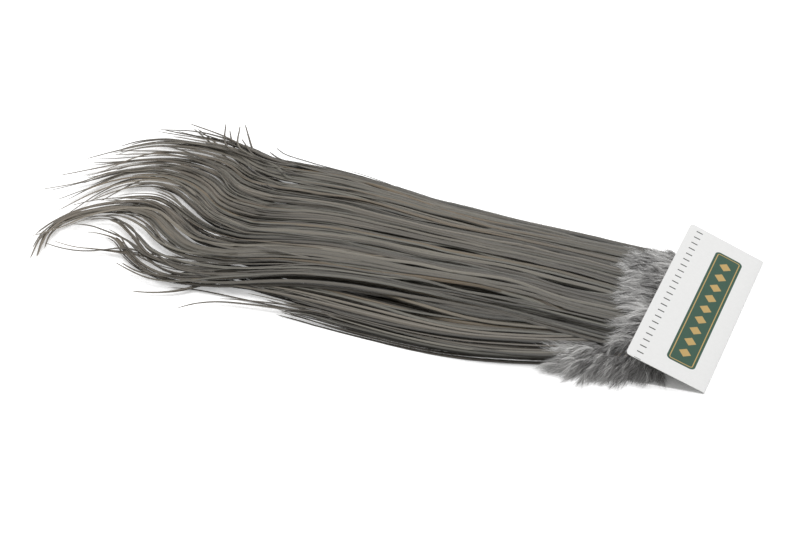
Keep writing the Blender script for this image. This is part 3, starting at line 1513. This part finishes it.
def fibre_template(steps: int = 3) -> Mesh:
    """Makes a flat fibre, 1 long and 1 wide at its root, that ends in a point."""
    shape = bmesh.new()
    bmesh.ops.create_grid(shape, x_segments=steps, y_segments=1, size=0.5)
    bmesh.ops.translate(shape, vec=(0.5, 0, 0), verts=shape.verts)
    ends = [vert for vert in shape.verts if vert.co.x > 0.99]
    bmesh.ops.pointmerge(shape, verts=ends, merge_co=(1, 0, 0))
    return mesh_of(shape, "fibre")


@dataclass
class Plume:
    """One downy tuft: fibres that sweep forward on both sides of a short quill, domed across it.

    Attributes:
        root: Root in plan, in mm.
        tip: Tip in plan, in mm.
        fibres: Number of fibres.
        spread: Widest turn of a fibre off the quill, in radians.
        fibre: Length of its longest fibres, in mm.
        height: Share of the room between floor and ceiling that it fills.
        swirl: How far its fibres turn to one side, in radians.
        tone: Brightness, from 0 to 1.
    """

    root: tuple[float, float]
    tip: tuple[float, float]
    fibres: int
    spread: float
    fibre: float
    height: float
    swirl: float
    tone: float


@dataclass
class Down:
    """A piece of down: plumes that lie between a floor and a ceiling.

    Attributes:
        node: The solid that it stands for.
        plumes: Its plumes.
        floor: Height of the floor at places x and y, in mm.
        ceiling: Height of the ceiling at places x and y, in mm.
        half_width: Half width of a fibre at its root, in mm. Real ones are 0.02 mm, too fine to show.
        wave: How far a fibre waves from side to side, as a share of its length.
        seed: Seed of its chance.
    """

    node: str
    plumes: list[Plume]
    floor: Callable[[np.ndarray, np.ndarray], np.ndarray]
    ceiling: Callable[[np.ndarray, np.ndarray], np.ndarray]
    half_width: float = 0.1
    wave: float = 0.06
    seed: int = 77

    def fibres(
        self, plume: Plume, flat: np.ndarray, rng: np.random.Generator
    ) -> tuple[np.ndarray, np.ndarray]:
        """Lays a plume's fibres.

        Args:
            plume: The plume.
            flat: The flat fibre's vertices.
            rng: Source of chance.

        Returns:
            The vertices in mm, fibre by fibre, and the tint of each.
        """
        count = plume.fibres
        quill = np.subtract(plume.tip, plume.root)
        length = float(np.hypot(*quill))
        heading = math.atan2(quill[1], quill[0])
        place = rng.uniform(0, 0.8, count)
        aside = rng.uniform(-1, 1, count)
        root = np.array(plume.root) + place[:, None] * quill
        root += rng.normal(0, 0.3, (count, 2))
        turn = aside * plume.spread * rng.uniform(0.7, 1.2, count)
        back = -turn * rng.uniform(0.3, 1.1, count) + plume.swirl
        far = plume.fibre * (1 - 0.35 * place) * np.where(
            rng.random(count) < 0.1, rng.uniform(1.0, 1.4, count), rng.uniform(0.45, 1.0, count)
        )
        t, across = flat[None, :, 0], flat[None, :, 1]
        bend = heading + turn[:, None] + 0.6 * back[:, None] * t
        along_x = root[:, :1] + far[:, None] * t * np.cos(bend)
        along_y = root[:, 1:] + far[:, None] * t * np.sin(bend)
        wave = (self.wave * far * rng.uniform(0.2, 1, count))[:, None]
        wave = wave * np.sin(t * rng.uniform(2.5, 5.5, (count, 1)))
        half = self.half_width * (1 - 0.7 * t) * rng.uniform(0.7, 1.3, (count, 1))
        flip = rng.normal(0, 0.5, (count, 1))
        side = 2 * across * half
        x = along_x - np.sin(bend) * (wave + side * np.cos(flip))
        y = along_y + np.cos(bend) * (wave + side * np.cos(flip))
        low, high = self.floor(x, y), self.ceiling(x, y)
        reach = np.clip((place[:, None] + t * far[:, None] / max(length, 1)) / 1.3, 0, 1)
        dome = np.sqrt(1 - 0.55 * aside**2)[:, None] * rng.uniform(0.3, 1.0, (count, 1))
        swell = np.sin(np.pi * np.clip(0.14 + 0.76 * reach, 0, 1))
        z = low + (high - low) * plume.height * dome * swell + side * np.sin(flip) + 0.1
        tone = np.clip(plume.tone + rng.normal(0, 0.2, (count, 1)), -0.3, 1.2)
        deep = 0.5 + 0.5 * dome
        tint = np.stack(np.broadcast_arrays(reach, tone, deep), 2)
        return np.stack((x, y, np.maximum(z, 0.05)), 2).reshape(-1, 3), tint.reshape(-1, 3)

    def build(self, material: Material, template: Mesh) -> Object:
        """Builds the piece.

        Args:
            material: The down's finish.
            template: The flat fibre.

        Returns:
            The piece.
        """
        rng = np.random.default_rng(self.seed)
        flat = corners_of(template)
        laid = [self.fibres(plume, flat, rng) for plume in self.plumes]
        places, tints = (np.vstack(rows) for rows in zip(*laid))
        mesh = array_of(template, sum(plume.fibres for plume in self.plumes), self.node)
        move_corners(mesh, places)
        write_colours(mesh, "fibre_tint", tints)
        return finished_piece(f"{self.node}_fibres", mesh, [material], Slot.DOWN, self.node)


@dataclass
class DownRuff:
    """The ruff of down over the butts of the upper feathers, under and beyond the flap.

    Attributes:
        plumes: Number of plumes.
        near: Nearest plume, along Y in mm.
        far: Farthest plume, along Y in mm.
        last: The root that is farthest from the fold on the near and the far side, along X in mm.
        length: Shortest and longest plume, in mm.
        crown: Height of the ruff at the flap's free edge, in mm.
        fall: How much lower it is for each mm towards the tips.
        clearance: Gap that it leaves under the flap, in mm.
        thin_end: Where it thins out towards the tips, along X in mm.
        thin_side: Where it thins out towards the far side, along Y in mm.
        near_drop: How far it sinks over the near edge of the feathers, and from and to where along Y.
        fibres: Fibres in a plume.
        seed: Seed of its chance.
    """

    plumes: int = 280
    near: float = -40.0
    far: float = 37.0
    last: tuple[float, float] = (-13.0, -29.0)
    length: tuple[float, float] = (10.0, 17.0)
    crown: float = 14.8
    fall: float = 0.07
    clearance: float = 0.5
    thin_end: tuple[float, float] = (-56.0, -34.0)
    thin_side: tuple[float, float] = (37.0, 20.0)
    near_drop: tuple[float, float, float] = (5.0, -35.0, -46.0)
    fibres: int = 95
    seed: int = 31

    def floor(self, x: np.ndarray, y: np.ndarray) -> np.ndarray:
        """Height of the feathers that the ruff lies on, less beyond their near edge."""
        plan = LAYERS[Layer.UPPER]
        lift = layer_thickness(x, y) * ramp(x, plan.root, plan.full) * 0.9 + GAP
        drop, start, end = self.near_drop
        return lie_height(Layer.UPPER, x, y) + lift - drop * ramp(y, start, end)

    def ceiling(self, x: np.ndarray, y: np.ndarray) -> np.ndarray:
        """Height that the ruff reaches: just under the flap, and thin at its far end."""
        crown = self.crown + self.fall * (x + CARD.flap / 2)
        top = np.minimum(CARD.flap_underside(x, y) - self.clearance, crown)
        floor = self.floor(x, y)
        room = np.maximum(top - floor, 0.8)
        return floor + room * ramp(x, *self.thin_end) * (0.2 + 0.8 * ramp(y, *self.thin_side))

    def build(self, material: Material, template: Mesh) -> Object:
        """Builds the ruff."""
        rng = np.random.default_rng(self.seed)
        plumes = []
        for _ in range(self.plumes):
            y = rng.uniform(self.near, self.far)
            last = between(self.last, float(ramp(y, self.near, 10)))
            x = last * rng.random() ** 0.7
            x -= rng.uniform(0, 9) * (rng.random() < 0.12)
            turn = 0.006 * y + rng.normal(0, 0.3)
            uneven = rng.uniform(0.8, 1.25) + 0.35 * math.sin(0.37 * y + 1) * math.sin(0.13 * y)
            length = rng.uniform(*self.length) * uneven
            tip = (x - length * math.cos(turn), y + length * math.sin(turn))
            patch = 0.5 + 0.5 * math.sin(0.21 * x + 1.3) * math.sin(0.17 * y + 0.6)
            plumes.append(Plume(
                (x, y), tip, self.fibres, spread=0.75, fibre=rng.uniform(7, 12),
                height=rng.uniform(0.45, 1.0), swirl=rng.normal(0, 0.3),
                tone=float(np.clip(rng.normal(-0.05, 0.3) + 0.95 * patch, -0.2, 1.2)),
            ))
        return Down("down_ruff", plumes, self.floor, self.ceiling, seed=self.seed).build(
            material, template
        )


@dataclass
class DownFan:
    """A fan of down along one long side of the skin, over the flap and onto the surface.

    Attributes:
        node: Its solid.
        side: -1 for the near side and 1 for the far side.
        plumes: Number of plumes.
        first: Its plume nearest to the fold, along X in mm.
        last: Its plume farthest from the fold, along X in mm.
        length: Length of the plumes, in mm.
        height: Height of the fan at its root, in mm.
        edge: Edge of the feather mass that it grows along.
        fibres: Fibres in a plume.
        turns: Turn from straight out at the first and the last plume, in radians.
        tones: Brightness at the first and the last plume.
        seed: Seed of its chance.
    """

    node: str
    side: int
    plumes: int
    first: float
    last: float
    length: float
    height: float
    edge: Table
    fibres: int
    turns: tuple[float, float] = (0.05, 1.0)
    tones: tuple[float, float] = (-0.4, 0.4)
    seed: int = 53

    def inner(self, x: np.ndarray) -> np.ndarray:
        """Place along Y where the fan roots."""
        return along(self.edge, x) - self.side * 3.0

    def floor(self, x: np.ndarray, y: np.ndarray) -> np.ndarray:
        """Height of the flap, of the surface beyond it, and of the feathers that it roots on."""
        base = (CARD.thickness + GAP) * ramp(x, SKIN_ON_FLAP - 4, SKIN_ON_FLAP)
        over = ramp(self.side * (y - self.inner(x)), 3, -4)
        return base + (self.height - 1.8 - base) * over

    def ceiling(self, x: np.ndarray, y: np.ndarray) -> np.ndarray:
        """Height that the fan reaches, less towards its rim."""
        out = np.clip(self.side * (y - self.inner(x)) / (self.length + 3), 0, 1)
        slope = self.height + (1.4 - self.height) * out
        return np.minimum(slope, CARD.flap_underside(x, y) - 0.6)

    def build(self, material: Material, template: Mesh) -> Object:
        """Builds the fan."""
        rng = np.random.default_rng(self.seed + self.side)
        plumes = []
        for number in range(self.plumes):
            t = (number + rng.uniform(0, 1)) / self.plumes
            x = between((self.first, self.last), t)
            turn = between(self.turns, t) + rng.normal(0, 0.3)
            out = rng.uniform(-0.06, 0.45)
            y = float(self.inner(np.array(x))) + self.side * out * self.length
            swell = 0.62 + 0.38 * math.sin(math.pi * (0.02 + 0.75 * t))
            length = self.length * swell * rng.uniform(0.3, 0.75)
            tip = (x - length * math.sin(turn), y + self.side * length * math.cos(turn))
            tone = between(self.tones, t) - 0.5 * out
            plumes.append(Plume(
                (x, y), tip, self.fibres, spread=0.6, fibre=0.7 * length + 4,
                height=rng.uniform(0.4, 1.0), swirl=rng.normal(0, 0.16),
                tone=float(np.clip(tone + rng.normal(0, 0.32), -0.2, 1.1)),
            ))
        return Down(self.node, plumes, self.floor, self.ceiling, seed=self.seed).build(
            material, template
        )


def build_down() -> None:
    """Builds the ruff and the two fans."""
    material = DownFinish().material()
    template = fibre_template()
    DownRuff().build(material, template)
    DownFan("down_near_side", -1, 230, -4, -45, 22.5, 9.5, NEAR_EDGE, 90).build(material, template)
    DownFan("down_far_side", 1, 26, -4, -42, 11, 6, FAR_EDGE, 60, turns=(0.5, 1.2)).build(
        material, template
    )
    bpy.data.meshes.remove(template)


# The skin and the card


@dataclass
class DriedSkin:
    """The dried skin, with the butts of the quills in rows on its flesh side.

    Attributes:
        cells: Cells along and across.
        thickness: Thickness of the hide, in mm. The quill butts take up the rest of the solid's.
        rag: Size of the cut edge's unevenness, as a share of the half width.
        pitch: Spacing of the quill butts along and across, in mm.
        butt: Radius and height of a quill butt, in mm.
        seed: Seed of the butts' places and sizes.
    """

    cells: tuple[int, int] = (84, 64)
    thickness: float = 0.62
    rag: float = 0.012
    pitch: tuple[float, float] = (4.6, 5.2)
    butt: tuple[float, float] = (0.75, 0.36)
    seed: int = 9

    def underside(self, x: float, y: float) -> float:
        """Height of the hide's underside, a little wavy and above the quill butts."""
        wave = 0.5 + 0.25 * math.sin(0.31 * x + 0.11 * y) + 0.25 * math.sin(0.23 * y - 0.07 * x)
        return float(skin_underside(np.array(x))) + self.butt[1] * (0.8 + 0.2 * wave)

    def half(self, x: float) -> float:
        """Half width of the skin, with its ragged cut edge."""
        rag = math.sin(1.9 * x) * math.sin(0.83 * x + 1) + 0.6 * math.sin(4.1 * x)
        return float(along(SKIN_HALF, np.array(x))) * (1 + self.rag * rag)

    def hide(self) -> Mesh:
        """Makes the sheet of hide."""
        shape = bmesh.new()
        bmesh.ops.create_grid(shape, x_segments=self.cells[0], y_segments=self.cells[1], size=1)
        for vert in shape.verts:
            x = between((SKIN_BACK, SKIN_FRONT), (vert.co.x + 1) / 2)
            across = vert.co.y
            wavy = 1 + SKIN_WAVE * math.sin(x * 0.35 + across)
            y = across * self.half(x) * wavy
            vert.co = Vector((x, y, self.underside(x, y))) * MM
        bmesh.ops.recalc_face_normals(shape, faces=shape.faces)
        if shape.faces[0].normal.z > 0:
            bmesh.ops.reverse_faces(shape, faces=shape.faces)
        bmesh.ops.solidify(shape, geom=shape.faces, thickness=self.thickness * MM)
        bmesh.ops.recalc_face_normals(shape, faces=shape.faces)
        return mesh_of(shape, "hide")

    def butts(self) -> Mesh:
        """Makes the quill butts, which stand out of the flesh side."""
        shape = bmesh.new()
        bmesh.ops.create_uvsphere(shape, u_segments=8, v_segments=6, radius=1)
        template = mesh_of(shape, "butt")
        rng = np.random.default_rng(self.seed)
        spots = []
        for row, x in enumerate(np.arange(SKIN_BACK + 5, SKIN_FRONT - 2, self.pitch[0])):
            reach = self.half(x) - 3.5
            shift = 0.5 * self.pitch[1] * (row % 2)
            for y in np.arange(-reach + shift, reach, self.pitch[1]):
                spots.append((x + rng.normal(0, 0.5), y + rng.normal(0, 0.5)))
        flat = corners_of(template)
        radius, height = self.butt
        placed = []
        for x, y in spots:
            size = rng.uniform(0.75, 1.0)
            centre = (x, y, self.underside(x, y) + 0.09)
            placed.append(flat * (1.3 * radius * size, radius * size, height * size) + centre)
        mesh = array_of(template, len(spots), "butts")
        bpy.data.meshes.remove(template)
        move_corners(mesh, np.vstack(placed))
        return mesh

    def build(self) -> Object:
        """Builds the skin."""
        shape = bmesh.new()
        parts = [self.hide(), self.butts()]
        for part in parts:
            shape.from_mesh(part)
        mesh = mesh_of(shape, "skin")
        for part in parts:
            bpy.data.meshes.remove(part)
        return finished_piece("dried_skin", mesh, [SkinFinish().material()], Slot.SKIN, "skin")


@dataclass
class FoldedCard:
    """The folded card, bent from one flat sheet of board with rounded corners.

    Attributes:
        plan: Its sizes.
        cells: Cells of the flat sheet, along and across.
        bends: Bends in the fold.
        corner_steps: Steps of a rounded corner.
    """

    plan: CardPlan = CARD
    cells: tuple[int, int] = (18, 24)
    bends: int = 10
    corner_steps: int = 6

    @property
    def arc(self) -> float:
        """Length of board in the fold, in mm."""
        return math.pi * (self.plan.fold + self.plan.thickness / 2)

    def bent(self, u: float, y: float) -> tuple[float, float, float]:
        """Gives where a place on the outside of the flat sheet goes.

        Args:
            u: Distance from the lower flap's free edge, in mm.
            y: Place along the fold, in mm.

        Returns:
            The place in mm.
        """
        plan = self.plan
        if u <= plan.flat:
            return u - plan.flap / 2, y, 0.0
        rise = float(plan.rise(np.array(y)))
        turned = min((u - plan.flat) / self.arc, 1.0)
        angle = -math.pi / 2 + turned * (math.pi - rise)
        outside = plan.fold + plan.thickness / 2
        out = max(u - plan.flat - self.arc, 0.0)
        x = plan.fold_x + outside * math.cos(angle) - out * math.cos(rise)
        return x, y, outside + outside * math.sin(angle) + out * math.sin(rise)

    def mesh(self) -> Mesh:
        """Makes the card, with the place of each vertex on the sheet kept for the print."""
        plan = self.plan
        whole = 2 * plan.flat + self.arc
        shape = bmesh.new()
        bmesh.ops.create_grid(shape, x_segments=self.cells[0], y_segments=self.cells[1], size=0.5)
        bmesh.ops.scale(shape, vec=(whole, plan.width, 1), verts=shape.verts)
        bmesh.ops.translate(shape, vec=(whole / 2, 0, 0), verts=shape.verts)
        for bend in range(self.bends + 1):
            cut = plan.flat + self.arc * bend / self.bends
            bmesh.ops.bisect_plane(
                shape, geom=[*shape.verts, *shape.edges, *shape.faces], plane_co=(cut, 0, 0),
                plane_no=(1, 0, 0), dist=1e-4,
            )
        corners = [vert for vert in shape.verts if len(vert.link_edges) == 2]
        bmesh.ops.bevel(
            shape, geom=corners, offset=plan.corner, offset_type="OFFSET", affect="VERTICES",
            segments=self.corner_steps, profile=0.5, material=-1,
        )
        print_layer = shape.verts.layers.float_vector.new("print_place")
        for vert in shape.verts:
            vert[print_layer] = Vector((vert.co.y + plan.width / 2, whole - vert.co.x, 0))
            vert.co = Vector(self.bent(vert.co.x, vert.co.y)) * MM
        bmesh.ops.recalc_face_normals(shape, faces=shape.faces)
        lowest = min(shape.faces, key=lambda face: face.calc_center_median().x)
        if lowest.normal.z > 0:
            bmesh.ops.reverse_faces(shape, faces=shape.faces)
        outside = set(shape.faces)
        bmesh.ops.solidify(shape, geom=list(outside), thickness=plan.thickness * MM)
        for face in shape.faces:
            middle = face.calc_center_median()
            face.material_index = int(face.normal.z > 0.5 and middle.z > 1.5 * MM)
        mesh = mesh_of(shape, "card")
        mesh.set_sharp_from_angle(angle=math.radians(35))
        return mesh

    def build(self) -> Object:
        """Builds the card."""
        board = BoardFinish()
        materials = [board.material(), board.material(PrintFinish())]
        return finished_piece("folded_card", self.mesh(), materials, Slot.CARD, "card")


def build_locks() -> None:
    """Builds the three layers of locks."""
    material = HackleFinish().material()
    partings = all_partings()
    for layer, plan in LAYERS.items():
        template = VaneTemplate(plan.steps)
        flat = template.mesh()
        for index in range(plan.lanes):
            HackleLock(layer, index, template, flat, partings).build(material)
        bpy.data.meshes.remove(flat)


def main() -> None:
    """Builds the scene in order."""
    logging.basicConfig(level=logging.INFO, format="%(name)s: %(message)s")
    Studio().build()
    FoldedCard().build()
    DriedSkin().build()
    build_down()
    build_locks()


if __name__ == "__main__":
    main()
